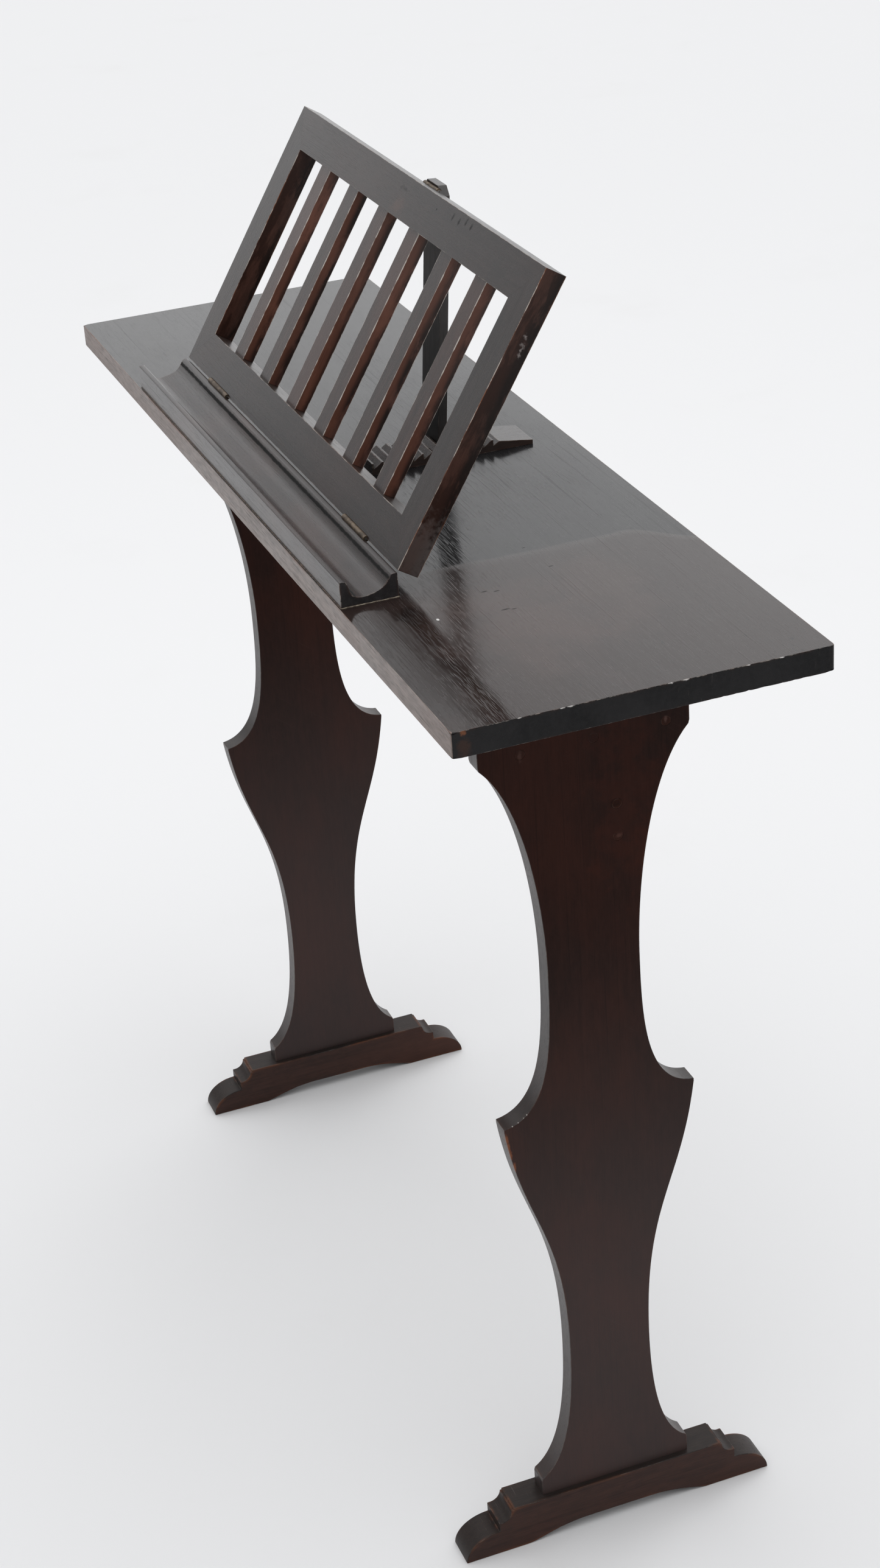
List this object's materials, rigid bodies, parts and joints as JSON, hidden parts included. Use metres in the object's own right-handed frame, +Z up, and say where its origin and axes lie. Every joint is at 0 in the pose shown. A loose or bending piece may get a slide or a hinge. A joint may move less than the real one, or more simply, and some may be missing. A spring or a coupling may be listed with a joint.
{
  "type": "standing reading desk",
  "caption": "Tall narrow desk on shaped board legs, with a pen ledge and a slatted book rack that tilts on hinges and is propped by a swinging strut on a toothed ratchet board.",
  "frame": {"origin": "on the floor, midway between the two feet and under the middle of the top", "axes": "+X along the desk to the reader's right, +Y away from the reader, +Z up"},
  "size_m": [1.22, 0.36, 1.331],
  "materials": {
    "top_wood": "dark stained and waxed, satin, fine dark pores",
    "frame_wood": "dark red-brown stained and waxed, satin",
    "rack_wood": "dark stained and waxed, worn pale along the arrises",
    "plug_wood": "dark stained end grain",
    "brass": "dulled copper-brown",
    "steel": "dull, darkened"
  },
  "bodies": {
    "stand": {"table_top": "top_wood", "left_leg": "frame_wood", "right_leg": "frame_wood", "left_foot": "frame_wood", "right_foot": "frame_wood", "stretcher": "frame_wood", "stretcher_screws": "steel", "left_cleat": "frame_wood", "right_cleat": "frame_wood", "cleat_screws": "steel", "top_screws": "steel", "leg_plugs": "plug_wood", "pen_ledge": "top_wood", "left_ledge_leaf": "brass", "right_ledge_leaf": "brass", "ledge_leaf_screws": "steel", "left_hinge_pin": "steel", "right_hinge_pin": "steel", "ratchet_board": "rack_wood", "ratchet_pin": "steel"},
    "rack": {"left_stile": "rack_wood", "right_stile": "rack_wood", "top_rail": "rack_wood", "bottom_rail": "rack_wood", "slat_1": "rack_wood", "slat_2": "rack_wood", "slat_3": "rack_wood", "slat_4": "rack_wood", "slat_5": "rack_wood", "slat_6": "rack_wood", "left_rack_leaf": "brass", "right_rack_leaf": "brass", "rack_leaf_screws": "steel", "rail_leaf": "brass", "rail_leaf_screws": "steel", "strut_hinge_pin": "steel"},
    "strut": {"strut": "rack_wood", "strut_leaf": "brass", "strut_leaf_screws": "steel"}
  },
  "joints": [
    {"name": "rack_tilt", "type": "hinge", "parent": "stand", "child": "rack", "pos_m": [-0.014, -0.1205, 1.0705], "axis": [1, 0, 0], "range_deg": [0, 31.8]},
    {"name": "strut_swing", "type": "hinge", "parent": "rack", "child": "strut", "pos_m": [-0.014, 0.06056, 1.31887], "axis": [1, 0, 0], "range_deg": [-27, 60]}
  ]
}
